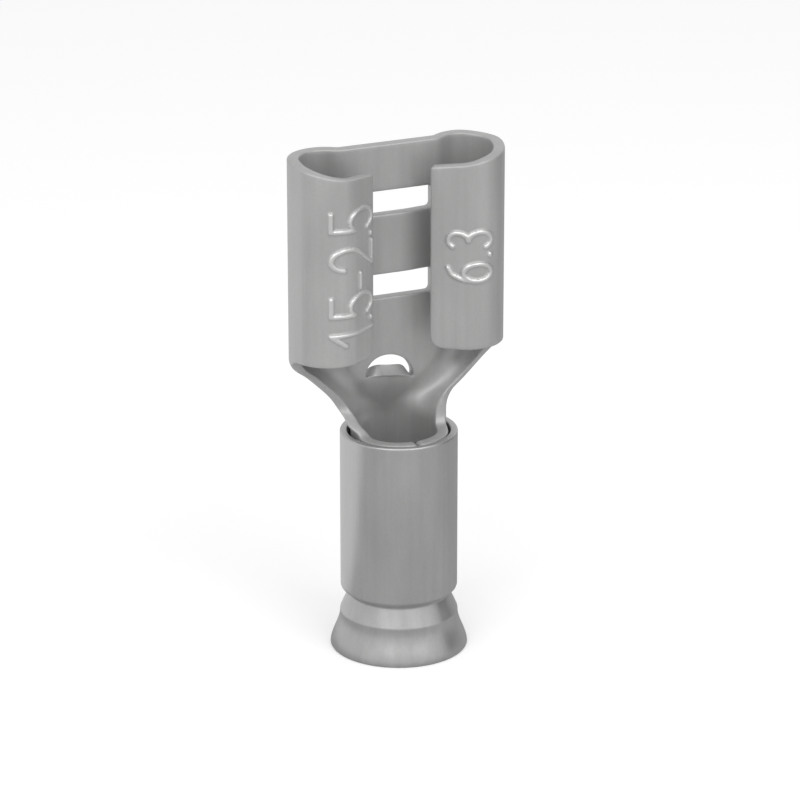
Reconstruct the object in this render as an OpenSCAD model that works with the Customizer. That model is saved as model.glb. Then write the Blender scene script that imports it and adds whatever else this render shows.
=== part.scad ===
// Female spade terminal, non-insulated: one folded tin-plated sheet that holds
// a flat tab in its rolled wings and a wire in its barrel, with a drawn sleeve
// pushed over the barrel. Millimetres, standing on the sleeve's bell, +Z up
// towards the tab's mouth, floor of the socket at the back (+Y).

/* [Sheet metal] */
// Thickness of the stamped and folded sheet
sheet_t = 0.4; // [0.35:0.01:0.45]
// Thinning of each face where the neck is drawn
draw_thin = 0.02; // [0.01:0.005:0.03]

/* [Tab socket] */
// Width of the flat tab that slides in
tab_w = 6.35; // [6:0.05:7]
// Free space beside the tab, on each side
tab_side_play = 0.305; // [0.15:0.005:0.4]
// Gap between the floor and the wing tips with no tab in place
tab_gap = 0.7; // [0.6:0.01:0.8]
// Front face of the floor, behind the barrel's axis
floor_y = 0.75; // [0.7:0.01:0.85]
// Length of the socket from the neck to the mouth
socket_len = 7.12; // [6.5:0.02:8.5]
// Outer radius of each rolled wing
roll_r = 1.28; // [1.24:0.01:1.34]
// How far each roll stands behind the back of the floor
roll_rise = 0.31; // [0.2:0.01:0.36]
// Centre-line radius of the small bend between floor and roll
jog_r = 0.5; // [0.4:0.01:0.6]
// Distance between the tab-side corners of the two wing tips
tip_gap = 2.53; // [2.3:0.01:2.7]
// Angle at which the wing's mouth edge falls towards the middle
lip_slope = 13; // [8:0.5:16]
// Angle at which that edge falls towards the front
lip_lean = 7.5; // [4:0.5:10]
// Corner radius at the foot of each wing tip
tip_corner_r = 0.4; // [0.2:0.01:0.5]

/* [Detent strap] */
// Length of each slot across the floor
slot_span = 3.12; // [2.4:0.02:3.2]
// Height of the slot nearer the mouth
slot_h = 0.8; // [0.5:0.01:0.9]
// Height of the slot nearer the neck
low_slot_h = 0.97; // [0.5:0.01:1.1]
// Floor left between the mouth and the first slot
mouth_web = 1.64; // [1.2:0.01:1.8]
// Height of the strap between the two slots
strap_h = 2.03; // [1.8:0.01:2.4]
// How far the strap is bowed towards the tab
strap_bow = 0.18; // [0.1:0.01:0.3]
// Half width of the strap's flat crown
strap_crown = 0.5; // [0.3:0.01:0.7]

/* [Neck] */
// Height of the neck between the barrel and the socket
neck_len = 2.85; // [2.6:0.01:3.4]
// Share of the neck at which the sides begin their straight run outward
flare_from = 0.14; // [0.1:0.01:0.3]
// Share of the neck at which that run turns up into the socket's sides
flare_to = 0.9; // [0.8:0.01:0.95]
// Share of the neck over which its back comes forward to the socket's floor
floor_run = 0.55; // [0.4:0.05:0.8]
// How far the flange edges wrap forward on to the barrel's rim, in degrees
flange_wrap = 50; // [20:1:70]
// Share of the neck over which the flange edges turn back from that wrap
flange_run = 0.25; // [0.15:0.05:0.5]
// How far the flange edges stand behind the barrel's axis above that
flange_y = 0.45; // [0.18:0.01:0.6]
// Share of the neck above which they come forward again to the rolls' sides
flange_join = 0.7; // [0.5:0.05:0.8]
// Radius of the half-round wire stop lanced from the floor
stop_r = 0.83; // [0.6:0.01:0.9]
// Shear gap round the wire stop
stop_gap = 0.06; // [0.02:0.005:0.08]
// Floor left between the socket's wings and the wire stop's hole
stop_web = 0.36; // [0.3:0.01:0.6]
// Angle that the wire stop is bent forward
stop_angle = 64; // [30:1:70]

/* [Barrel] */
// Inside diameter of the wire barrel
barrel_bore = 2.53; // [2.3:0.01:2.7]
// Length of the wire barrel
barrel_len = 5.68; // [5:0.02:7]
// Width of the butt seam down the barrel's front
seam_w = 0.05; // [0.03:0.01:0.1]

/* [Sleeve] */
// Wall of the drawn sleeve
sleeve_wall = 0.25; // [0.2:0.01:0.3]
// Radial clearance between the barrel and the sleeve
sleeve_gap = 0.115; // [0.1:0.005:0.15]
// Height at which the tube turns in to the waist
shoulder_z = 2.2; // [2.1:0.01:2.4]
// Outer diameter of the waist that stops the barrel
waist_d = 3.5; // [3.3:0.01:3.6]
// Height of the waist
waist_z = 1.98; // [1.8:0.01:2]
// Outer diameter at the foot of the cone below the waist
cone_d = 4.1; // [4:0.01:4.2]
// Height of that foot, where the bell begins to flare
cone_z = 1.3; // [1.2:0.01:1.4]
// Outer diameter of the bell's rim
bell_d = 4.78; // [4.7:0.02:5.4]
// Clearance under the barrel's end, above the groove's shoulder
seat_gap = 0.05; // [0.02:0.01:0.1]
// Radius on the sleeve's rims
rim_round = 0.08; // [0.05:0.01:0.1]

/* [Hidden] */
fine = 96;
tin = [0.70, 0.70, 0.69];
tin_drawn = [0.64, 0.64, 0.63];

barrel_ri = barrel_bore / 2;
barrel_ro = barrel_ri + sheet_t;
barrel_rm = barrel_ri + sheet_t / 2;

function ease(t) = let(k = min(max(t, 0), 1)) k * k * (3 - 2 * k);
function mix(a, b, t) = a + (b - a) * t;
function unit(v) = v / norm(v);

// Sleeve section in [radius, height]: the outer shoulder runs from the tube to
// the waist and the cone runs on from there. The inner lines lie one wall inside.
sleeve_ri = barrel_ro + sleeve_gap;
sleeve_ro = sleeve_ri + sleeve_wall;
tube_foot = [sleeve_ro, shoulder_z];
waist = [waist_d / 2, waist_z];
cone_foot = [cone_d / 2, cone_z];
shoulder_dir = unit(waist - tube_foot);
cone_dir = unit(cone_foot - waist);
function inward(dir) = sleeve_wall * [dir[1], -dir[0]];
function turn(a, b) = a[0] * b[1] - a[1] * b[0];
function meet(p, a, q, b) = p + a * turn(q - p, b) / turn(a, b);
shoulder_in = tube_foot + inward(shoulder_dir);
waist_in = meet(shoulder_in, shoulder_dir, waist + inward(cone_dir), cone_dir);
tube_foot_in = meet(shoulder_in, shoulder_dir, [sleeve_ri, 0], [0, 1]);
function bell_r(z) = mix(cone_foot[0], bell_d / 2, ease(pow((cone_z - z) / cone_z, 1.15)));
barrel_seat = meet(shoulder_in, shoulder_dir, [barrel_ro, 0], [0, 1]);
barrel_z = barrel_seat[1] + seat_gap;

// Heights up the terminal
neck_z = barrel_z + barrel_len;
socket_z = neck_z + neck_len;
mouth_z = socket_z + socket_len;
slot1_z = mouth_z - mouth_web - slot_h;
slot2_z = slot1_z - strap_h - low_slot_h;
stop_z = socket_z - stop_web - stop_r - stop_gap;

// Section of the socket: floor, jog and roll, all tangent to each other
socket_w = tab_w + 2 * tab_side_play + 2 * sheet_t;
floor_ym = floor_y + sheet_t / 2;
roll_rm = roll_r - sheet_t / 2;
roll_x = socket_w / 2 - roll_r;
roll_y = floor_y + sheet_t + roll_rise - roll_r;
jog_a = acos((floor_ym + jog_r - roll_y) / (roll_rm + jog_r));
jog_x = roll_x - (roll_rm + jog_r) * sin(jog_a);

// Wing tip: a straight stretch that leaves the roll on a tangent and ends at
// the tab-side corner of the tip
tip_dx = tip_gap / 2 - roll_x;
tip_dy = floor_y - tab_gap - roll_y;
tip_dist = norm([tip_dx, tip_dy]);
roll_ri = roll_r - sheet_t;
roll_end = 360 + atan2(tip_dy, tip_dx) + acos(roll_ri / tip_dist);
tip_len = sqrt(pow(tip_dist, 2) - pow(roll_ri, 2));

// Neck: how much of the socket's extra width there is at height t (0 to 1), as
// a straight run with a soft turn at each end
flange_x = socket_w / 2 - sheet_t / 2;
function soft(x, w) = x < -w ? 0 : x > w ? x : pow(x + w, 2) / (4 * w);
function spread(t) = (soft(t - flare_from, flare_from) - soft(t - flare_to, 1 - flare_to)) / (flare_to - flare_from);

// One half of the neck's centre line at height t: u runs evenly from the middle
// of the floor (0) along the floor, the jog and the corner to the edge (1)
NECK_ROWS = 18;
NECK_COLS = 20;
function arc_len(r, a) = r * a * PI / 180;
function neck_point(t, u, off) =
    let(
        k = spread(t),
        r = mix(barrel_rm, roll_rm, k),
        a = jog_a * k,
        ym = mix(barrel_rm, floor_ym, ease(t / floor_run)),
        cy = ym + jog_r - (jog_r + r) * cos(a),
        set_back = mix(-barrel_rm * sin(flange_wrap), flange_y, ease(t / flange_run)),
        edge_y = mix(set_back, roll_y, ease((t - flange_join) / (1 - flange_join))),
        wrap = asin((cy - edge_y) / r),
        cx = mix(barrel_rm, flange_x, k) - r * cos(min(wrap, 0)),
        flat = cx - (jog_r + r) * sin(a),
        jog = arc_len(jog_r, a),
        corner = arc_len(r, 90 + a + wrap),
        s = u * (flat + jog + corner)
    )
    s <= flat ? [s, ym + off]
    : s < flat + jog ?
        let(w = a * (s - flat) / jog)
        [flat + (jog_r - off) * sin(w), ym + jog_r - (jog_r - off) * cos(w)]
    :
        let(w = mix(90 + a, -wrap, (s - flat - jog) / corner))
        [cx + (r + off) * cos(w), cy + (r + off) * sin(w)];

// One ring of the neck, outer face left to right and inner face back again
function neck_ring(t, z, half_t) = concat(
    [for (i = [-NECK_COLS : NECK_COLS])
        let(p = neck_point(t, abs(i) / NECK_COLS, half_t)) [sign(i) * p[0], p[1], z]],
    [for (i = [NECK_COLS : -1 : -NECK_COLS])
        let(p = neck_point(t, abs(i) / NECK_COLS, -half_t)) [sign(i) * p[0], p[1], z]]
);

// The neck runs a little way into the barrel and into the socket
module neck_shell() {
    bury = sheet_t / 2;
    half_t = sheet_t / 2 - draw_thin;
    heights = concat([-bury], [for (i = [0 : NECK_ROWS]) i / NECK_ROWS * neck_len], [neck_len + bury]);
    rings = [for (h = heights) neck_ring(min(max(h / neck_len, 0), 1), neck_z + h, half_t)];
    n = len(rings[0]);
    m = len(rings);
    half = n / 2;
    points = [for (ring = rings) for (p = ring) p];
    walls = [for (j = [0 : m - 2]) for (i = [0 : n - 1])
        let(a = j * n + i, b = j * n + (i + 1) % n)
            each [[a, b, b + n], [a, b + n, a + n]]];
    // each end is closed by a strip between its outer and inner lines
    ends = [for (i = [0 : half - 2])
        let(a = i, b = i + 1, c = n - 2 - i, d = n - 1 - i, top = (m - 1) * n)
            each [[a, c, b], [a, d, c], [top + a, top + b, top + c], [top + a, top + c, top + d]]];
    polyhedron(points = points, faces = concat(walls, ends), convexity = 6);
}

// A stretch of sheet bent about the Z axis, from angle a to angle b, with its
// centre line at radius r
module bend(r, a, b) {
    rotate(a)
        rotate_extrude(angle = b - a, $fn = fine)
            translate([r - sheet_t / 2, 0])
                square([sheet_t, socket_len]);
}

// One wing: the jog that turns back from the floor, the roll and the straight tip
module wing() {
    translate([jog_x, floor_ym + jog_r, socket_z])
        bend(jog_r, -90, -90 + jog_a);
    translate([roll_x, roll_y, socket_z]) {
        bend(roll_rm, roll_end - 360, 90 + jog_a);
        rotate(roll_end)
            translate([roll_ri, -tip_len, 0])
                cube([sheet_t, tip_len, socket_len]);
    }
}

module socket() {
    translate([-jog_x, floor_y, socket_z])
        cube([2 * jog_x, sheet_t, socket_len]);
    wing();
    mirror([1, 0, 0])
        wing();
}

// What the sloping mouth edge takes off a wing: all that is above a plane that
// starts at the roll's side and falls towards the middle and the front
module lip_trim() {
    reach = 3 * roll_r;
    start = 0.1;
    translate([socket_w / 2 + start, roll_y - start, mouth_z])
        rotate([lip_lean, 0, 0])
            rotate([0, -lip_slope, 0])
                translate([-reach, -reach, 0])
                    cube([reach + 1, reach, 2]);
}

// What the rounded foot of the tip takes off a wing, seen from the front
module foot_trim() {
    steps = 8;
    x_tip = tip_gap / 2 + sheet_t * cos(roll_end);
    r = tip_corner_r;
    arc = [for (i = [0 : steps])
        let(w = 180 + 90 * i / steps)
            [x_tip + r + r * cos(w), socket_z + r + r * sin(w)]];
    translate([0, roll_y, 0])
        rotate([90, 0, 0])
            linear_extrude(height = 2 * roll_r)
                polygon(concat(arc, [[x_tip + r, socket_z - 1], [x_tip - 1, socket_z - 1], [x_tip - 1, socket_z + r]]));
}

module slot(z, h) {
    corner = 0.12;
    translate([0, floor_y + sheet_t + 1, z])
        rotate([90, 0, 0])
            linear_extrude(height = sheet_t + 2)
                union() {
                    translate([-slot_span / 2, corner])
                        square([slot_span, h - 2 * corner]);
                    translate([-slot_span / 2 + corner, 0])
                        square([slot_span - 2 * corner, h]);
                    for (x = [-1, 1], y = [corner, h - corner])
                        translate([x * (slot_span / 2 - corner), y])
                            circle(r = corner, $fn = 32);
                }
}

// The strap's centre line: flat crown, eased shoulders, ends in the floor
module strap() {
    steps = 12;
    half = slot_span / 2;
    function bow(x) = strap_bow * ease((half - abs(x)) / (half - strap_crown));
    xs = concat([for (i = [0 : steps]) -half + i / steps * (half - strap_crown)],
        [for (i = [0 : steps]) strap_crown + i / steps * (half - strap_crown)]);
    translate([0, 0, slot2_z + low_slot_h])
        linear_extrude(height = strap_h)
            polygon(concat([for (x = xs) [x, floor_y - bow(x)]],
                [for (i = [len(xs) - 1 : -1 : 0]) [xs[i], floor_y + sheet_t - bow(xs[i])]]));
}

module strap_window() {
    translate([-slot_span / 2, floor_y - 1, slot2_z + low_slot_h])
        cube([slot_span, sheet_t + 2, strap_h]);
}

module stop_hole() {
    translate([0, floor_y + sheet_t + 1, stop_z])
        rotate([90, 0, 0])
            linear_extrude(height = sheet_t + 1.3)
                intersection() {
                    circle(r = stop_r + stop_gap, $fn = fine);
                    translate([-stop_r - 1, 0])
                        square([2 * stop_r + 2, stop_r + 1]);
                }
}

// Half-round tongue, bent forward about the floor's centre line
module stop_tongue() {
    root = 0.12;
    translate([0, floor_ym, stop_z])
        rotate([stop_angle, 0, 0])
            translate([0, sheet_t / 2, 0])
                rotate([90, 0, 0])
                    linear_extrude(height = sheet_t)
                        union() {
                            intersection() {
                                circle(r = stop_r, $fn = fine);
                                translate([-stop_r - 1, 0])
                                    square([2 * stop_r + 2, stop_r + 1]);
                            }
                            translate([-stop_r, -root])
                                square([2 * stop_r, root]);
                        }
}

module barrel() {
    translate([0, 0, barrel_z])
        difference() {
            cylinder(r = barrel_ro, h = barrel_len, $fn = fine);
            translate([0, 0, -1])
                cylinder(r = barrel_ri, h = barrel_len + 2, $fn = fine);
            translate([-seam_w / 2, -barrel_ro - 1, -1])
                cube([seam_w, barrel_ro + 1, barrel_len + 2]);
        }
}

module terminal_body() {
    color(tin)
        union() {
            difference() {
                union() {
                    socket();
                    neck_shell();
                }
                for (side = [0, 1])
                    mirror([side, 0, 0]) {
                        lip_trim();
                        foot_trim();
                    }
                slot(slot1_z, slot_h);
                slot(slot2_z, low_slot_h);
                strap_window();
                stop_hole();
            }
            strap();
            stop_tongue();
            barrel();
        }
}

// A corner b between a and c, rounded from a distance of cut along each side
function rounded(a, b, c, cut) = let(p = b + cut * unit(a - b), q = b + cut * unit(c - b))
    [for (i = [0 : 4]) mix(mix(p, b, i / 4), mix(b, q, i / 4), i / 4)];

module barrel_sleeve() {
    steps = 24;
    crease = 0.06;
    bend_cut = 0.1;
    rim = bell_d / 2;
    top_out = [sleeve_ro, neck_z - rim_round];
    top_in = [sleeve_ri, neck_z - rim_round];
    skirt_top = cone_z - 2 * crease;
    skirt_zs = [for (i = [0 : steps]) mix(rim_round, skirt_top, i / steps)];
    skirt = [for (z = skirt_zs) [bell_r(z), z]];
    skirt_in = [for (i = [steps : -1 : 0]) skirt[i] - [sleeve_wall, 0]];
    color(tin_drawn)
        rotate_extrude($fn = fine)
            polygon(concat(
                [[rim - sleeve_wall + rim_round, 0], [rim - rim_round, 0]],
                skirt,
                rounded(skirt[steps], cone_foot, waist, crease),
                rounded(cone_foot, waist, tube_foot, bend_cut),
                rounded(waist, tube_foot, top_out, bend_cut),
                [top_out, [sleeve_ro - rim_round, neck_z], [sleeve_ri + rim_round, neck_z], top_in],
                rounded(top_in, tube_foot_in, waist_in, crease),
                rounded(tube_foot_in, waist_in, skirt_in[0], bend_cut),
                skirt_in
            ));
}

terminal_body();
barrel_sleeve();
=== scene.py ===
"""Female spade terminal: the folded sheet and its belled sleeve, dressed for a render.

The part's own lengths are in millimetres, in the part's frame, and are turned into
metres where a mesh is made. The stage, the lamps and the camera are in metres.
"""
import math

import bpy
import numpy as np
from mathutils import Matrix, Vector, kdtree
from mathutils.geometry import delaunay_2d_cdt


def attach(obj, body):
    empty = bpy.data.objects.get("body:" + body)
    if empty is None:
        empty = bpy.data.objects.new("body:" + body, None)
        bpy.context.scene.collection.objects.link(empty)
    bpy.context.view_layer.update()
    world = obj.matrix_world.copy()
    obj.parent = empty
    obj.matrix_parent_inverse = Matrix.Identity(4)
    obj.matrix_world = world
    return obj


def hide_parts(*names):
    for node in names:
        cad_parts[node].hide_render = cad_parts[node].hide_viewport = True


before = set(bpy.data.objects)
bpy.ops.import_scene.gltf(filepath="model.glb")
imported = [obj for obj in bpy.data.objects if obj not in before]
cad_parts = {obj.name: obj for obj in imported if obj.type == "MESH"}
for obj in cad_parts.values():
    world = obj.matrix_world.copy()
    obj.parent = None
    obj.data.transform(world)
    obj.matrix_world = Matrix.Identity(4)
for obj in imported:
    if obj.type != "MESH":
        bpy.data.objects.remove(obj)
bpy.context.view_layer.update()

MM = 0.001
PI = math.pi

# ------------------------------------------------------------------ sizes
# sheet and socket; YM and RM lie on the sheet's middle surface, RI on its inner face
SHEET_T = 0.4
HALF_T = SHEET_T / 2
SOCKET_W = 7.76
SOCKET_LEN = 7.12
FLOOR_Y = 0.75
FLOOR_YM = FLOOR_Y + HALF_T
ROLL_R = 1.28
ROLL_RM = ROLL_R - HALF_T
ROLL_RI = ROLL_R - SHEET_T
ROLL_PROUD = 0.31
ROLL_X = SOCKET_W / 2 - ROLL_R
ROLL_Y = FLOOR_Y + SHEET_T + ROLL_PROUD - ROLL_R
JOG_R = 0.5
JOG_A = math.acos((FLOOR_YM + JOG_R - ROLL_Y) / (ROLL_RM + JOG_R))
JOG_X = ROLL_X - (ROLL_RM + JOG_R) * math.sin(JOG_A)
TIP_GAP = 2.53
TAB_GAP = 0.7
LIP_SLOPE = math.tan(math.radians(13))
LIP_LEAN = math.tan(math.radians(7.5))
LIP_EASE = 0.35

# cross slots in the floor, with the bowed strap between them
SLOT_SPAN = 3.12
SLOT_H = 0.8
LOW_SLOT_H = 0.87
SLOT_CORNER = 0.16
MOUTH_WEB = 1.64
STRAP_H = 2.13
STRAP_BOW = 0.09
STRAP_CROWN = 0.5

# neck; FROM, TO and RUN are parts of its height, counted up from the barrel's rim
NECK_LEN = 2.85
FLARE_FROM = 0.14
FLARE_TO = 0.9
FLOOR_RUN = 0.64
WRAP = math.radians(14)
FLANGE_RUN = 0.36
FLANGE_Y = 0.45
WING_FROM, WING_RUN = 0.7, 0.3

# wire stop: the tongue, and the slit that frees it from the floor
STOP_R = 0.83
STOP_GAP = 0.06
STOP_WEB = 0.42
STOP_SQUASH = 0.88
STOP_TILT = 0.11
STOP_BEND = math.radians(80)
STOP_BEND_R = 0.215
STOP_REACH = 0.37
STOP_MARGIN = 0.03

# barrel
BORE = 2.53
BARREL_RM = BORE / 2 + HALF_T
BARREL_RO = BARREL_RM + HALF_T
BARREL_LEN = 5.68
SEAM_W = 0.05

# sleeve
SLEEVE_WALL = 0.25
SLEEVE_PLAY = 0.115
SLEEVE_RI = BARREL_RO + SLEEVE_PLAY
SLEEVE_RO = SLEEVE_RI + SLEEVE_WALL
SHOULDER_Z = 2.2
WAIST_R, WAIST_Z = 1.75, 1.98
CONE_R, CONE_Z = 2.05, 1.3
BELL_R = 2.39
BELL_CURVE = 1.15
SEAT_GAP = 0.05
RIM_ROUND = 0.08

# unevenness and spring that this dressed part has and the solids have not: S is across
# the blank, X across the part, and a lean's FROM, TO, RUN and FADE are parts of the neck
NECK_LEAN = 0.18
LEAN_FROM, LEAN_RUN, LEAN_FADE = 0.1, 0.45, 0.3
LEAN_S, LEAN_S_RUN = 0.86, 0.9
RIM_LEAN = 0.12
RIM_LEAN_RUN, RIM_LEAN_TO, RIM_LEAN_FADE, RIM_LEAN_S_RUN = 0.12, 0.45, 0.33, 1.2
RIM_FLARE = 0.085
RIM_FLARE_LEN, RIM_FLARE_S, RIM_FLARE_S_RUN = 0.8, 2.4, 1.2
MOUTH_SLUMP = 0.09
SLUMP_X, SLUMP_X_RUN = 2.6, 1.2
NOTCH_RISE = 0.12

# rounding of the sheet's edges, and of the corners of its outline; each corner is
# rounder than the edge, or the inset edge would cross itself
EDGE_R = 0.07
SLIT_EDGE_R = 0.04
SEAM_CUT, RIM_CUT, FLANGE_CUT, FOOT_CUT, TIP_CUT = 0.14, 0.22, 0.4, 0.5, 0.14

# raised figures
SQUEEZE = 0.72
MARK_WIDTH = 0.24
MARK_RISE = 0.085
MARK_STEEP = 1.25
# part of the figures' rise above which faces get the painted highlight colour
HIGHLIGHT_CROWN_PART = 0.55
MARK_REACH = 0.3
MARK_MARGIN = 0.15

# mesh: steps along drawn paths and along finished loops, then across the sheet
PATH_STEP, LOOP_STEP, SLIT_STEP = 0.03, 0.05, 0.025
GRID_STEP, MARK_STEP = ((0.09, 0.04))
GRID_KEEP_OFF, MARK_KEEP_OFF = 0.045, 0.03
SLEEVE_TURNS = 192
EDGE_PHIS = (60, 30, 0)
TINY = 1e-9


# ------------------------------------------------------------------ helpers
def mix(a, b, t):
    return a + (b - a) * t


def ease(t):
    k = np.clip(t, 0.0, 1.0)
    return k * k * (3 - 2 * k)


def soft(x, w):
    """Zero, then x, with a parabola from -w to w between them."""
    return np.where(x < -w, 0.0, np.where(x > w, x, (x + w) ** 2 / (4 * w)))


def spread(t):
    """How far the neck has opened from barrel, 0, to socket, 1, at part t of its height."""
    opened = soft(t - FLARE_FROM, FLARE_FROM) - soft(t - FLARE_TO, 1 - FLARE_TO)
    return opened / (FLARE_TO - FLARE_FROM)


def unit(v):
    v = np.asarray(v, float)
    return v / np.linalg.norm(v)


def meet(p, a, q, b):
    """Where the line through p along a meets the line through q along b."""
    turn = a[0] * b[1] - a[1] * b[0]
    gap = np.subtract(q, p)
    return np.asarray(p) + np.asarray(a) * (gap[0] * b[1] - gap[1] * b[0]) / turn


def bezier(p, c, q, t):
    return (1 - t) ** 2 * p + 2 * t * (1 - t) * c + t ** 2 * q


# Corners of the sleeve's section, [radius, height], outside and inside
tube_foot = np.array([SLEEVE_RO, SHOULDER_Z])
waist = np.array([WAIST_R, WAIST_Z])
cone_foot = np.array([CONE_R, CONE_Z])
shoulder_dir = unit(waist - tube_foot)
cone_dir = unit(cone_foot - waist)
shoulder_in = tube_foot + SLEEVE_WALL * np.array([shoulder_dir[1], -shoulder_dir[0]])
cone_in = waist + SLEEVE_WALL * np.array([cone_dir[1], -cone_dir[0]])
waist_in = meet(shoulder_in, shoulder_dir, cone_in, cone_dir)
tube_foot_in = meet(shoulder_in, shoulder_dir, [SLEEVE_RI, 0], [0, 1])

# Heights; the barrel's end stands just clear of the sleeve's shoulder
BARREL_Z = meet(shoulder_in, shoulder_dir, [BARREL_RO, 0], [0, 1])[1] + SEAT_GAP
NECK_Z = BARREL_Z + BARREL_LEN
SOCKET_Z = NECK_Z + NECK_LEN
MOUTH_Z = SOCKET_Z + SOCKET_LEN
SLOT1_Z = MOUTH_Z - MOUTH_WEB - SLOT_H
SLOT2_Z = SLOT1_Z - STRAP_H - LOW_SLOT_H
STOP_Z = SOCKET_Z - STOP_WEB - (STOP_R + STOP_GAP) * STOP_SQUASH

# Wing tip: the straight stretch after the roll
tip_dx = TIP_GAP / 2 - ROLL_X
tip_dy = FLOOR_Y - TAB_GAP - ROLL_Y
tip_dist = math.hypot(tip_dx, tip_dy)
ROLL_END = math.atan2(tip_dy, tip_dx) + math.acos(ROLL_RI / tip_dist)
if ROLL_END > 0:
    ROLL_END -= 2 * PI
TIP_LEN = math.sqrt(tip_dist ** 2 - ROLL_RI ** 2)

# Half widths of the blank, at the barrel's seam and at the wing's tip
S_SEAM = BARREL_RM * (PI - math.asin(SEAM_W / 2 / BARREL_RM))
S_TIP = float(JOG_X + JOG_R * JOG_A + ROLL_RM * (PI / 2 + JOG_A - ROLL_END) + TIP_LEN)


# ------------------------------------------------------------------ the fold
def section(z):
    """The sizes of the folded section at height z, all along the middle surface."""
    t = np.clip((z - NECK_Z) / NECK_LEN, 0.0, 1.0)
    k = spread(t)
    r = mix(BARREL_RM, ROLL_RM, k)
    a = JOG_A * k
    ym = mix(BARREL_RM, FLOOR_YM, ease(t / FLOOR_RUN))
    cy = ym + JOG_R - (JOG_R + r) * np.cos(a)
    edge_y = mix(-BARREL_RM * math.sin(WRAP), FLANGE_Y, ease(t / FLANGE_RUN))
    edge_y = mix(edge_y, ROLL_Y, ease((t - WING_FROM) / WING_RUN))
    wrap = np.arcsin((cy - edge_y) / r)
    cx = mix(BARREL_RM, SOCKET_W / 2 - HALF_T, k) - r * np.cos(np.minimum(wrap, 0))
    flat = cx - (JOG_R + r) * np.sin(a)
    return r, a, ym, cx, cy, flat, wrap


def edge_s(z):
    """How far from the middle of the blank the neck's flange edge lies."""
    r, a, _, _, _, flat, wrap = section(z)
    return flat + JOG_R * a + r * (PI / 2 + a + wrap)


def tongue_height(s):
    """How far the flat blank of the wire stop's tongue reaches above its root."""
    return STOP_REACH * np.maximum(1 - (s / STOP_R) ** 2, 0)


def fold(s, z, off):
    """Takes points of the blank, s across and z up, out by off, to the folded part."""
    side, s = np.sign(s), np.abs(s)
    r, a, ym, cx, cy, flat, _ = section(z)
    jog = JOG_R * a
    roll = r * (PI / 2 + a - ROLL_END)
    w_jog = np.clip((s - flat) / JOG_R, 0, a)
    w_roll = PI / 2 + a - np.clip((s - flat - jog) / r, 0, roll / r)
    on_flat = s <= flat
    on_jog = ~on_flat & (s < flat + jog)
    past = np.maximum(s - flat - jog - roll, 0)

    def choose(flat_value, jog_value, roll_value):
        return np.where(on_flat, flat_value, np.where(on_jog, jog_value, roll_value))

    nx = choose(0, -np.sin(w_jog), np.cos(w_roll))
    ny = choose(1, np.cos(w_jog), np.sin(w_roll))
    x = choose(s, flat + JOG_R * np.sin(w_jog),
               cx + r * np.cos(w_roll) + past * math.sin(ROLL_END))
    y = choose(ym, ym + JOG_R - JOG_R * np.cos(w_jog),
               cy + r * np.sin(w_roll) - past * math.cos(ROLL_END))

    # strap between the slots, bowed towards the tab
    half_span = SLOT_SPAN / 2
    in_strap = (z > SLOT2_Z + LOW_SLOT_H / 2) & (z < SLOT1_Z + SLOT_H / 2) & (s < half_span)
    bow = STRAP_BOW * ease((half_span - s) / (half_span - STRAP_CROWN))
    y = y - np.where(in_strap, bow, 0)

    # front of the barrel's rim, sprung out against the sleeve
    spring = (RIM_FLARE * ease((z - NECK_Z + RIM_FLARE_LEN) / RIM_FLARE_LEN)
              * ease((s - RIM_FLARE_S) / RIM_FLARE_S_RUN) * (z < NECK_Z + 0.001))

    # the neck leans a little to the right, and its left side to the left above the rim
    t = np.clip((z - NECK_Z) / NECK_LEN, 0.0, 1.0)
    lean = (NECK_LEAN * ease((t - LEAN_FROM) / LEAN_RUN) * ease((1 - t) / LEAN_FADE)
            * ease((s - LEAN_S) / LEAN_S_RUN))
    lean = lean - (RIM_LEAN * ease(t / RIM_LEAN_RUN) * ease((RIM_LEAN_TO - t) / RIM_LEAN_FADE)
                   * ease(s / RIM_LEAN_S_RUN) * (side < 0))
    px, py, pz = side * (x + nx * (off + spring)) + lean, y + ny * (off + spring), z.copy()

    # tongue of the wire stop, bent forward about a root that drops to the right
    root = STOP_Z - STOP_TILT * side * s
    up = z - root
    in_tongue = (up > 0) & (s < STOP_R) & (up < tongue_height(s) + STOP_MARGIN)
    th = np.clip(up / STOP_BEND_R, 0, STOP_BEND)
    rest = np.maximum(up - STOP_BEND_R * STOP_BEND, 0)
    ty = FLOOR_YM - STOP_BEND_R * (1 - np.cos(th)) - rest * np.sin(th) + off * np.cos(th)
    tz = root + STOP_BEND_R * np.sin(th) + rest * np.cos(th) + off * np.sin(th)
    py = np.where(in_tongue, ty, py)
    pz = np.where(in_tongue, tz, pz)
    return np.stack([px, py, pz], axis=1)


# ------------------------------------------------------------------ the blank's outline
def mouth_z(s):
    """Height of the mouth edge: level across the floor, falling along each wing."""
    mid = fold(s, np.full_like(s, MOUTH_Z), np.zeros_like(s))
    inward = SOCKET_W / 2 - np.abs(mid[:, 0])
    forward = ROLL_Y - mid[:, 1]
    fall = LIP_SLOPE * inward + LIP_LEAN * forward
    eased = ease((forward + LIP_EASE) / (2 * LIP_EASE)) * fall
    # the right side's outer edge stands a little lower
    slump = MOUTH_SLUMP * ease((mid[:, 0] - SLUMP_X) / SLUMP_X_RUN)
    return MOUTH_Z - slump - np.where(forward > -LIP_EASE, eased, 0)


def line(a, b, step=PATH_STEP):
    a, b = np.asarray(a, float), np.asarray(b, float)
    n = max(2, int(math.ceil(np.linalg.norm(b - a) / step)) + 1)
    return np.linspace(a, b, n)


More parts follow.
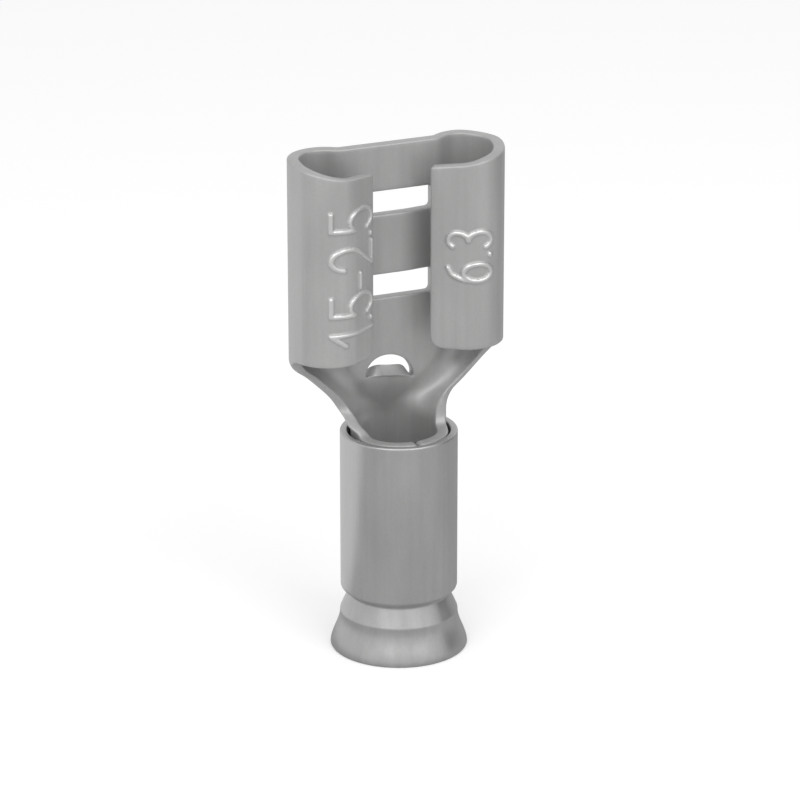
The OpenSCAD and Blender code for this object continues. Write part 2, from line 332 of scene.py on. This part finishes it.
def trim(path, cut, at_end):
    """Cuts a length off one end of a polyline."""
    p = path[::-1] if at_end else path
    left = cut
    i = 0
    while i < len(p) - 2 and np.linalg.norm(p[i + 1] - p[i]) < left:
        left -= np.linalg.norm(p[i + 1] - p[i])
        i += 1
    part = min(left / max(np.linalg.norm(p[i + 1] - p[i]), TINY), 0.95)
    p = np.vstack([p[i] + (p[i + 1] - p[i]) * part, p[i + 1:]])
    return p[::-1] if at_end else p


def resample(points, step):
    """Points of a closed loop, spaced evenly along it."""
    closed = np.vstack([points, points[:1]])
    steps = np.linalg.norm(np.diff(closed, axis=0), axis=1)
    length = np.concatenate([[0], np.cumsum(steps)])
    at = np.linspace(0, length[-1], int(round(length[-1] / step)), endpoint=False)
    return np.stack([np.interp(at, length, closed[:, i]) for i in (0, 1)], axis=1)


def loop_of(paths, cuts):
    """A closed loop of polylines, with a rounded corner of cuts[i] after paths[i]."""
    n = len(paths)
    corners = [path[-1].copy() for path in paths]
    paths = [trim(trim(paths[i], cuts[i], True), cuts[i - 1], False) for i in range(n)]
    points = []
    for i in range(n):
        t = np.linspace(0, 1, max(4, int(2 * cuts[i] / LOOP_STEP)))[1:-1, None]
        points += [paths[i], bezier(paths[i][-1], corners[i], paths[(i + 1) % n][0], t)]
    return resample(np.vstack(points), LOOP_STEP)


def outline():
    """The outline of the blank, anticlockwise from the lower left corner of the seam."""
    s_mouth = np.linspace(S_TIP, -S_TIP, 500)
    mouth = np.stack([s_mouth, mouth_z(s_mouth)], axis=1)

    def half(notch_z, tip_top):
        """Seam, barrel rim, flange, wing foot and wing tip, on the side where s is positive."""
        z_neck = np.linspace(NECK_Z, notch_z, 100)
        flange = np.stack([edge_s(z_neck), z_neck], axis=1)
        return [
            line((S_SEAM, BARREL_Z), (S_SEAM, NECK_Z)),
            line((S_SEAM, NECK_Z), flange[0]),
            flange,
            line(flange[-1], (S_TIP, SOCKET_Z)),
            line((S_TIP, SOCKET_Z), (S_TIP, tip_top)),
        ]

    end = line((-S_SEAM, BARREL_Z), (S_SEAM, BARREL_Z))
    right = half(SOCKET_Z, mouth[0, 1])
    left = [p[::-1] * [-1, 1] for p in half(SOCKET_Z + NOTCH_RISE, mouth[-1, 1])[::-1]]
    cuts = [SEAM_CUT, SEAM_CUT, RIM_CUT, FLANGE_CUT, FOOT_CUT, TIP_CUT]
    return loop_of([end] + right + [mouth] + left, cuts + cuts[::-1])


def slot_hole(z, h):
    half = SLOT_SPAN / 2
    c = [(half, z), (half, z + h), (-half, z + h), (-half, z)]
    return loop_of([line(c[i - 1], c[i], 0.04) for i in range(4)], [SLOT_CORNER] * 4)


def stop_slit():
    """The opening between the wire stop's tongue and the floor above it."""
    outer = STOP_R + STOP_GAP
    w = np.linspace(0, PI, 90)
    arc = np.stack([outer * np.cos(w), outer * STOP_SQUASH * np.sin(w)], axis=1)
    across = np.linspace(-STOP_R, STOP_R, 80)
    lip = np.stack([across, tongue_height(across)], axis=1)
    end = np.linspace(0, PI, 7)[1:-1]
    mid, half = STOP_R + STOP_GAP / 2, STOP_GAP / 2
    left_end, right_end = [
        np.stack([x + half * -np.cos(end), -half * np.sin(end)], axis=1) for x in (-mid, mid)]
    slit = resample(np.vstack([arc, left_end, lip, right_end]), SLIT_STEP)
    return np.stack([slit[:, 0], slit[:, 1] + STOP_Z - STOP_TILT * slit[:, 0]], axis=1)


# ------------------------------------------------------------------ raised figures
def arc_path(cx, cy, rx, ry, a, b, n=14):
    w = np.radians(np.linspace(a, b, n))
    return [(cx + rx * math.cos(v), cy + ry * math.sin(v)) for v in w]


# each figure's width and its strokes, for a height of 1
GLYPHS = {
    "1": (0.34, [[(0.0, 0.74), (0.3, 1.0), (0.3, 0.0)]]),
    "2": (0.62, [arc_path(0.31, 0.7, 0.29, 0.3, 165, -35) + [(0.02, 0.0), (0.62, 0.0)]]),
    "3": (0.6, [arc_path(0.28, 0.76, 0.27, 0.24, 150, -90),
                arc_path(0.28, 0.26, 0.3, 0.26, 90, -150)]),
    "5": (0.62, [[(0.58, 1.0), (0.1, 1.0), (0.06, 0.56)]
                 + arc_path(0.29, 0.33, 0.31, 0.33, 125, -150)]),
    "6": (0.64, [arc_path(0.33, 0.31, 0.31, 0.31, 180, -180, 22),
                 [(0.02, 0.31), (0.08, 0.62), (0.26, 0.9), (0.5, 1.0)]]),
    ".": (0.1, [[(0.04, 0.03), (0.07, 0.03)]]),
    "-": (0.4, [[(0.0, 0.4), (0.4, 0.4)]]),
}

MARKS = [
    # text, figure height, gap between figures, side of the blank, distance from the wing's
    # tip to the side of the figures nearer to it, height of the line's middle above the neck
    ("1.5-2.5", 1.74, 0.2, -1, 0.22, 3.18),
    ("6.3", 1.35, 0.24, 1, 0.62, 3.35),
]


def strokes(text, height, gap):
    """Segments of a line of raised figures, from the origin along x, and its width."""
    segs, x = [], 0.0
    squeezed = height * SQUEEZE
    for ch in text:
        width, paths = GLYPHS[ch]
        for path in paths:
            for p, q in zip(path[:-1], path[1:]):
                segs.append((x + p[0] * squeezed, p[1] * height,
                             x + q[0] * squeezed, q[1] * height))
        x += width * height * SQUEEZE + gap
    return np.array(segs), x - gap


def mark_places(s, z, margin):
    """For each mark: its strokes, where points of the blank lie along it and up it, and
    which of them lie no more than margin outside it."""
    for text, height, gap, side, foot, middle in MARKS:
        segs, width = strokes(text, height, gap)
        along = z - (SOCKET_Z + middle - width / 2)
        up = (S_TIP - foot) - side * s
        if side > 0:
            up = height - up
        beside = (along > -margin) & (along < width + margin)
        yield segs, along, up, beside & (up > -margin) & (up < height + margin)


def relief(s, z):
    """Height of the raised figures above the sheet at points of the blank."""
    rise = np.zeros_like(s)
    for segs, along, up, near in mark_places(s, z, MARK_REACH):
        idx = np.nonzero(near)[0]
        p = np.stack([along[idx], up[idx]], axis=1)
        best = np.full(len(idx), np.inf)
        for x0, y0, x1, y1 in segs:
            d = np.array([x1 - x0, y1 - y0])
            k = np.clip(((p - [x0, y0]) @ d) / max(d @ d, TINY), 0, 1)
            best = np.minimum(best, np.linalg.norm(p - [x0, y0] - k[:, None] * d, axis=1))
        bump = MARK_RISE * ease(MARK_STEEP * (1 - best / (MARK_WIDTH / 2)))
        rise[idx] = np.maximum(rise[idx], bump)
    return rise


# ------------------------------------------------------------------ the sheet's mesh
def inside(points, loops):
    """Even-odd test of points against closed loops."""
    hit = np.zeros(len(points), bool)
    x, y = points[:, 0], points[:, 1]
    for loop in loops:
        for (x0, y0), (x1, y1) in zip(loop, np.roll(loop, -1, axis=0)):
            if y0 == y1:
                continue
            hit ^= ((y0 > y) != (y1 > y)) & (x < x0 + (y - y0) * (x1 - x0) / (y1 - y0))
    return hit


def inset(loop, d, inner_side):
    """Moves a closed loop sideways by d; inner_side 1 is to its left."""
    step = np.roll(loop, -1, axis=0) - np.roll(loop, 1, axis=0)
    step /= np.linalg.norm(step, axis=1)[:, None]
    return loop + d * inner_side * np.stack([-step[:, 1], step[:, 0]], axis=1)


def signed_area(loop):
    nxt = np.roll(loop, -1, axis=0)
    return 0.5 * np.sum(loop[:, 0] * nxt[:, 1] - loop[:, 1] * nxt[:, 0])


def grid_points(loops, spacing, keep_off, near_marks):
    """A staggered grid inside the loops, keep_off from them, on or off the raised figures."""
    s0, s1 = loops[0][:, 0].min(), loops[0][:, 0].max()
    z0, z1 = loops[0][:, 1].min(), loops[0][:, 1].max()
    s, z = np.meshgrid(np.arange(s0, s1, spacing), np.arange(z0, z1, spacing))
    s = s + (np.arange(s.shape[0]) % 2 * spacing / 2)[:, None]
    pts = np.stack([s.ravel(), z.ravel()], axis=1)
    in_marks = np.zeros(len(pts), bool)
    for _, _, _, near in mark_places(pts[:, 0], pts[:, 1], MARK_MARGIN):
        in_marks |= near
    pts = pts[in_marks == near_marks]
    pts = pts[inside(pts, loops)]
    edge = np.vstack(loops)
    tree = kdtree.KDTree(len(edge))
    for i, p in enumerate(edge):
        tree.insert((p[0], p[1], 0), i)
    tree.balance()
    far = [tree.find((p[0], p[1], 0))[2] > keep_off for p in pts]
    return pts[np.array(far, bool)]


def build(name, verts, faces):
    """A smooth-shaded object of the part, from points in millimetres."""
    mesh = bpy.data.meshes.new(name)
    mesh.from_pydata([tuple(v) for v in verts * MM], [], faces)
    mesh.validate()
    mesh.update()
    for p in mesh.polygons:
        p.use_smooth = True
    obj = bpy.data.objects.new(name, mesh)
    bpy.context.scene.collection.objects.link(obj)
    return obj


def sheet_mesh(name):
    """The blank, triangulated flat, then folded as an outer and an inner face with edges."""
    base = [outline(), slot_hole(SLOT1_Z, SLOT_H), slot_hole(SLOT2_Z, LOW_SLOT_H), stop_slit()]
    # metal lies to the left of the outline and outside each hole
    sides = [1 if signed_area(base[0]) > 0 else -1]
    sides += [-1 if signed_area(b) > 0 else 1 for b in base[1:]]
    radii = [EDGE_R, EDGE_R, EDGE_R, SLIT_EDGE_R]
    face = [inset(b, r, k) for b, r, k in zip(base, radii, sides)]
    flat = np.vstack(face + [grid_points(face, GRID_STEP, GRID_KEEP_OFF, False),
                             grid_points(face, MARK_STEP, MARK_KEEP_OFF, True)])
    starts = [sum(len(loop) for loop in face[:i]) for i in range(len(face))]
    edges = [(first + i, first + (i + 1) % len(loop))
             for loop, first in zip(face, starts) for i in range(len(loop))]
    out = delaunay_2d_cdt([Vector(p) for p in flat], edges, [], 1, 1e-7)
    pts = np.array([[v.x, v.y] for v in out[0]])
    tris = np.array([f for f in out[2] if len(f) == 3])
    new_of = {o: i for i, olds in enumerate(out[3]) for o in olds}
    tris = tris[inside(pts[tris].mean(axis=1), face)]
    a, b, c = pts[tris[:, 0]], pts[tris[:, 1]], pts[tris[:, 2]]
    area = (b[:, 0] - a[:, 0]) * (c[:, 1] - a[:, 1]) - (b[:, 1] - a[:, 1]) * (c[:, 0] - a[:, 0])
    tris, area = tris[np.abs(area) > TINY], area[np.abs(area) > TINY]
    tris[area < 0] = tris[area < 0][:, ::-1]

    s, z = pts[:, 0], pts[:, 1]
    rise = relief(s, z)
    verts = [fold(s, z, HALF_T + rise), fold(s, z, np.full(len(s), -HALF_T))]
    n = len(pts)
    # seen from outside, the outer face runs the other way round
    faces = [tuple(t) for t in tris[:, ::-1]] + [tuple(t + n) for t in tris]
    total = 2 * n
    for loop, radius, side, first in zip(base, radii, sides, starts):
        m = len(loop)
        rows = [[new_of[first + i] for i in range(m)]]
        for off_side, phis in ((1, EDGE_PHIS), (-1, EDGE_PHIS[::-1])):
            for phi in phis:
                w = math.radians(phi)
                ring = inset(loop, radius * (1 - math.cos(w)), side)
                off = off_side * (HALF_T - radius + radius * math.sin(w))
                verts.append(fold(ring[:, 0], ring[:, 1], np.full(m, off)))
                rows.append(list(range(total, total + m)))
                total += m
        rows.append([new_of[first + i] + n for i in range(m)])
        for up, low in zip(rows[:-1], rows[1:]):
            for i in range(m):
                j = (i + 1) % m
                quad = (up[i], up[j], low[j], low[i])
                faces.append(quad if side > 0 else quad[::-1])
    obj = build(name, np.vstack(verts), faces)

    # the crowns of the raised figures get a lighter, glossier material; their lighter colour is
    # a painted highlight
    painted_highlight_faces = rise[tris].mean(axis=1) > HIGHLIGHT_CROWN_PART * MARK_RISE
    plain = np.zeros(len(faces) - len(tris), bool)
    obj.data.polygons.foreach_set(
        "material_index", np.concatenate([painted_highlight_faces, plain]).astype(np.int32))
    return obj


# ------------------------------------------------------------------ the sleeve's mesh
def bell_r(z):
    return mix(CONE_R, BELL_R, ease(((CONE_Z - z) / CONE_Z) ** BELL_CURVE))


def rounded(a, b, c, cut):
    """The corner b between a and c, rounded off from cut before it to cut after it."""
    t = np.linspace(0, 1, 7)[:, None]
    return bezier(b + cut * unit(a - b), b, b + cut * unit(c - b), t)


def sleeve_profile():
    """The sleeve's section, [radius, height], up its outside and down its inside."""
    crease, bend = 0.04, 0.07
    at_foot, at_rim = np.array([0, 0.15]), np.array([0, 0.12])
    zs = np.linspace(RIM_ROUND, CONE_Z - 2 * crease, 26)
    skirt = np.stack([bell_r(zs), zs], axis=1)
    skirt_in = skirt[::-1] - [SLEEVE_WALL, 0]
    foot_out, foot_in = np.array([BELL_R, 0.0]), np.array([BELL_R - SLEEVE_WALL, 0.0])
    top_out, top_in = np.array([SLEEVE_RO, NECK_Z]), np.array([SLEEVE_RI, NECK_Z])
    tube = np.linspace(tube_foot + at_foot, top_out - at_rim, 24)
    tube_in = np.linspace(top_in - at_rim, tube_foot_in + at_rim, 10)
    return np.vstack([
        foot_in + [RIM_ROUND, 0],
        rounded(foot_in, foot_out, skirt[0], RIM_ROUND * 0.9),
        skirt[1:],
        rounded(skirt[-1], cone_foot, waist, crease),
        rounded(cone_foot, waist, tube_foot, bend),
        rounded(waist, tube_foot, top_out, bend),
        tube,
        rounded(tube[-1], top_out, top_in, RIM_ROUND),
        rounded(top_out, top_in, tube_in[0], RIM_ROUND),
        tube_in,
        rounded(top_in, tube_foot_in, waist_in, crease),
        rounded(tube_foot_in, waist_in, skirt_in[0], bend),
        skirt_in,
    ])


def sleeve_mesh(name):
    """The sleeve's section turned once round the part's axis."""
    radius, height = sleeve_profile().T
    m = len(radius)
    verts, faces = [], []
    for i in range(SLEEVE_TURNS):
        w = 2 * PI * i / SLEEVE_TURNS
        verts.append(np.stack([radius * math.cos(w), radius * math.sin(w), height], axis=1))
        for j in range(m):
            k, l = (i + 1) % SLEEVE_TURNS, (j + 1) % m
            faces.append((i * m + j, k * m + j, k * m + l, i * m + l))
    return build(name, np.vstack(verts), faces)


# ------------------------------------------------------------------ materials
def tin_material(name, base, rough, metallic):
    """Satin tin plate: fine drawn streaks up the part, cloudy tarnish, small scuffs."""
    mat = bpy.data.materials.new(name)
    mat.use_nodes = True
    nt = mat.node_tree
    bsdf = nt.nodes["Principled BSDF"]
    bsdf.inputs["Metallic"].default_value = metallic
    coord = nt.nodes.new("ShaderNodeTexCoord")

    def noise(scale, stretch, detail, rough_detail):
        """Noise of scale cells to the metre, stretched up the part."""
        mapping = nt.nodes.new("ShaderNodeMapping")
        mapping.inputs["Scale"].default_value = (scale, scale, scale / stretch)
        nt.links.new(coord.outputs["Object"], mapping.inputs["Vector"])
        tex = nt.nodes.new("ShaderNodeTexNoise")
        tex.inputs["Scale"].default_value = 1.0
        tex.inputs["Detail"].default_value = detail
        tex.inputs["Roughness"].default_value = rough_detail
        nt.links.new(mapping.outputs["Vector"], tex.inputs["Vector"])
        return tex.outputs["Fac"]

    def spread_to(value, low, high, out_low, out_high):
        node = nt.nodes.new("ShaderNodeMapRange")
        node.inputs["From Min"].default_value = low
        node.inputs["From Max"].default_value = high
        node.inputs["To Min"].default_value = out_low
        node.inputs["To Max"].default_value = out_high
        nt.links.new(value, node.inputs["Value"])
        return node.outputs["Result"]

    def math_node(op, a, b):
        node = nt.nodes.new("ShaderNodeMath")
        node.operation = op
        for socket, v in zip(node.inputs, (a, b)):
            if isinstance(v, float):
                socket.default_value = v
            else:
                nt.links.new(v, socket)
        return node.outputs[0]

    cloud = noise(700, 2.5, 3, 0.5)
    streak = noise(3000, 40, 3, 0.6)
    speck = noise(14000, 1.5, 2, 0.7)

    tone = math_node("MULTIPLY", spread_to(cloud, 0.3, 0.7, 0.94, 1.05),
                     spread_to(streak, 0.3, 0.7, 0.955, 1.04))
    tone = math_node("MULTIPLY", tone, spread_to(speck, 0.35, 0.65, 0.98, 1.02))
    shade = nt.nodes.new("ShaderNodeCombineColor")
    for i, part in enumerate(base):
        nt.links.new(math_node("MULTIPLY", tone, part), shade.inputs[i])
    nt.links.new(shade.outputs[0], bsdf.inputs["Base Color"])
    gloss = math_node("ADD", spread_to(cloud, 0.3, 0.7, rough - 0.05, rough + 0.06),
                      spread_to(streak, 0.3, 0.7, -0.03, 0.03))
    nt.links.new(gloss, bsdf.inputs["Roughness"])
    bump = nt.nodes.new("ShaderNodeBump")
    bump.inputs["Strength"].default_value = 0.35
    bump.inputs["Distance"].default_value = 0.01 * MM
    height = math_node("ADD", streak, math_node("MULTIPLY", speck, 0.35))
    nt.links.new(height, bump.inputs["Height"])
    nt.links.new(bump.outputs["Normal"], bsdf.inputs["Normal"])
    return mat


# name, base colour, roughness, metallic
body_mat = tin_material("tin_plate", (0.41, 0.41, 0.407), 0.4, 0.34)
# crowns of the raised figures: the lighter base colour is a painted highlight
highlight_crown_mat = tin_material("tin_crown_painted_highlight", (0.66, 0.66, 0.655), 0.36, 0.6)
sleeve_mat = tin_material("tin_drawn", (0.48, 0.48, 0.478), 0.34, 0.75)

body = sheet_mesh("terminal_sheet")
body.data.materials.append(body_mat)
body.data.materials.append(highlight_crown_mat)
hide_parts("terminal_body")
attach(body, "root")

sleeve = sleeve_mesh("sleeve_shell")
sleeve.data.materials.append(sleeve_mat)
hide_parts("barrel_sleeve")
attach(sleeve, "root")

# ------------------------------------------------------------------ stage
FLOOR_HALF, FLOOR_GREY = 0.6, 0.93
# what the floor adds for the camera's rays alone, and the world's strength for all others
FLOOR_GLOW = 0.13
WORLD_LIGHT = 0.78
# the card on the table: half its side, its lift, its grey, and the corner that it leaves out
TABLE_HALF, TABLE_LIFT, TABLE_GREY = 0.5, 0.00002, 0.42
TABLE_X, TABLE_Y = 0.001, 0.004
LAMP_AIM = Vector((0, 0, 0.009))
LAMP_LIGHT = 2.2


def stage_face(name, corners):
    """A flat face of the stage, from its corners."""
    mesh = bpy.data.meshes.new(name)
    mesh.from_pydata(corners, [], [tuple(range(len(corners)))])
    obj = bpy.data.objects.new(name, mesh)
    bpy.context.scene.collection.objects.link(obj)
    return obj


def plain_material(name, grey):
    mat = bpy.data.materials.new(name)
    mat.use_nodes = True
    bsdf = mat.node_tree.nodes["Principled BSDF"]
    bsdf.inputs["Base Color"].default_value = (grey, grey, grey, 1)
    bsdf.inputs["Roughness"].default_value = 1.0
    bsdf.inputs["Specular IOR Level"].default_value = 0.0
    return mat


def camera_ray_value(tree, to_others, to_camera):
    """A value that is one number for the camera's own rays and another for the rest."""
    path = tree.nodes.new("ShaderNodeLightPath")
    choose = tree.nodes.new("ShaderNodeMapRange")
    choose.inputs["To Min"].default_value = to_others
    choose.inputs["To Max"].default_value = to_camera
    tree.links.new(path.outputs["Is Camera Ray"], choose.inputs["Value"])
    return choose.outputs["Result"]


floor = stage_face("floor", [(x * FLOOR_HALF, y * FLOOR_HALF, 0)
                             for x, y in ((-1, -1), (1, -1), (1, 1), (-1, 1))])
floor_mat = plain_material("floor_white", FLOOR_GREY)
floor.data.materials.append(floor_mat)
# the floor is white to the camera, without more light on the part
floor_tree = floor_mat.node_tree
floor_bsdf = floor_tree.nodes["Principled BSDF"]
floor_bsdf.inputs["Emission Color"].default_value = (1, 1, 1, 1)
floor_tree.links.new(
    camera_ray_value(floor_tree, 0.0, FLOOR_GLOW), floor_bsdf.inputs["Emission Strength"])


def gloss_card(name, corners, grey):
    """A card of the stage that only the metal's gloss sees."""
    obj = stage_face(name, corners)
    obj.data.materials.append(plain_material(name, grey))
    obj.visible_camera = False
    obj.visible_diffuse = False
    obj.visible_shadow = False


def side_card(name, azimuth, distance, width, low, high, grey):
    """A dark upright card beside the set."""
    w = math.radians(azimuth)
    middle = Vector((math.sin(w), -math.cos(w), 0)) * distance + Vector((0, 0, (low + high) / 2))
    across = Vector((math.cos(w), math.sin(w), 0)) * width / 2
    up = Vector((0, 0, (high - low) / 2))
    gloss_card(name, [middle - across - up, middle + across - up,
                      middle + across + up, middle - across + up], grey)


# a grey card on the table, without its far left corner
gloss_card("table_card", [
    (-TABLE_HALF, -TABLE_HALF, TABLE_LIFT), (TABLE_HALF, -TABLE_HALF, TABLE_LIFT),
    (TABLE_HALF, TABLE_HALF, TABLE_LIFT), (TABLE_X, TABLE_HALF, TABLE_LIFT),
    (TABLE_X, TABLE_Y, TABLE_LIFT), (-TABLE_HALF, TABLE_Y, TABLE_LIFT)], TABLE_GREY)
side_card("side_card", azimuth=82, distance=0.03, width=0.024, low=0.0001, high=0.035, grey=0.02)


def add_area(name, azimuth, rise, distance, width, height, strength):
    """A soft box aimed at the part; strength is its brightness, 1 being white."""
    w, e = math.radians(azimuth), math.radians(rise)
    lamp = bpy.data.lights.new(name, "AREA")
    lamp.shape = "RECTANGLE"
    lamp.size = width
    lamp.size_y = height
    lamp.energy = strength * PI * width * height
    obj = bpy.data.objects.new(name, lamp)
    out = Vector((math.sin(w) * math.cos(e), -math.cos(w) * math.cos(e), math.sin(e)))
    obj.location = LAMP_AIM + distance * out
    obj.rotation_euler = out.to_track_quat("Z", "Y").to_euler()
    bpy.context.scene.collection.objects.link(obj)


add_area("key", -48, 42, distance=0.16, width=0.11, height=0.08, strength=LAMP_LIGHT)
add_area("fill", 14, 42, distance=0.16, width=0.10, height=0.08, strength=LAMP_LIGHT)

world = bpy.data.worlds.new("studio")
bpy.context.scene.world = world
world.use_nodes = True
background = world.node_tree.nodes["Background"]
background.inputs["Color"].default_value = (1, 1, 1, 1)
# white to the camera, dimmer as a light
world.node_tree.links.new(
    camera_ray_value(world.node_tree, WORLD_LIGHT, 1.0), background.inputs["Strength"])

# ------------------------------------------------------------------ camera
AIM = Vector((0.045, 0.0, 8.98)) * MM
TURN, RISE, REACH = math.radians(23.571), math.radians(20.29), 139.458 * MM
cam = bpy.data.cameras.new("camera")
cam.lens = 183.06
cam.sensor_width = 36
cam.clip_start = 0.005
cam_obj = bpy.data.objects.new("camera", cam)
cam_obj.location = AIM + REACH * Vector((
    -math.sin(TURN) * math.cos(RISE), -math.cos(TURN) * math.cos(RISE), math.sin(RISE)))
cam_obj.rotation_euler = (AIM - cam_obj.location).to_track_quat("-Z", "Y").to_euler()
bpy.context.scene.collection.objects.link(cam_obj)
bpy.context.scene.camera = cam_obj

bpy.context.scene.view_settings.view_transform = "Standard"
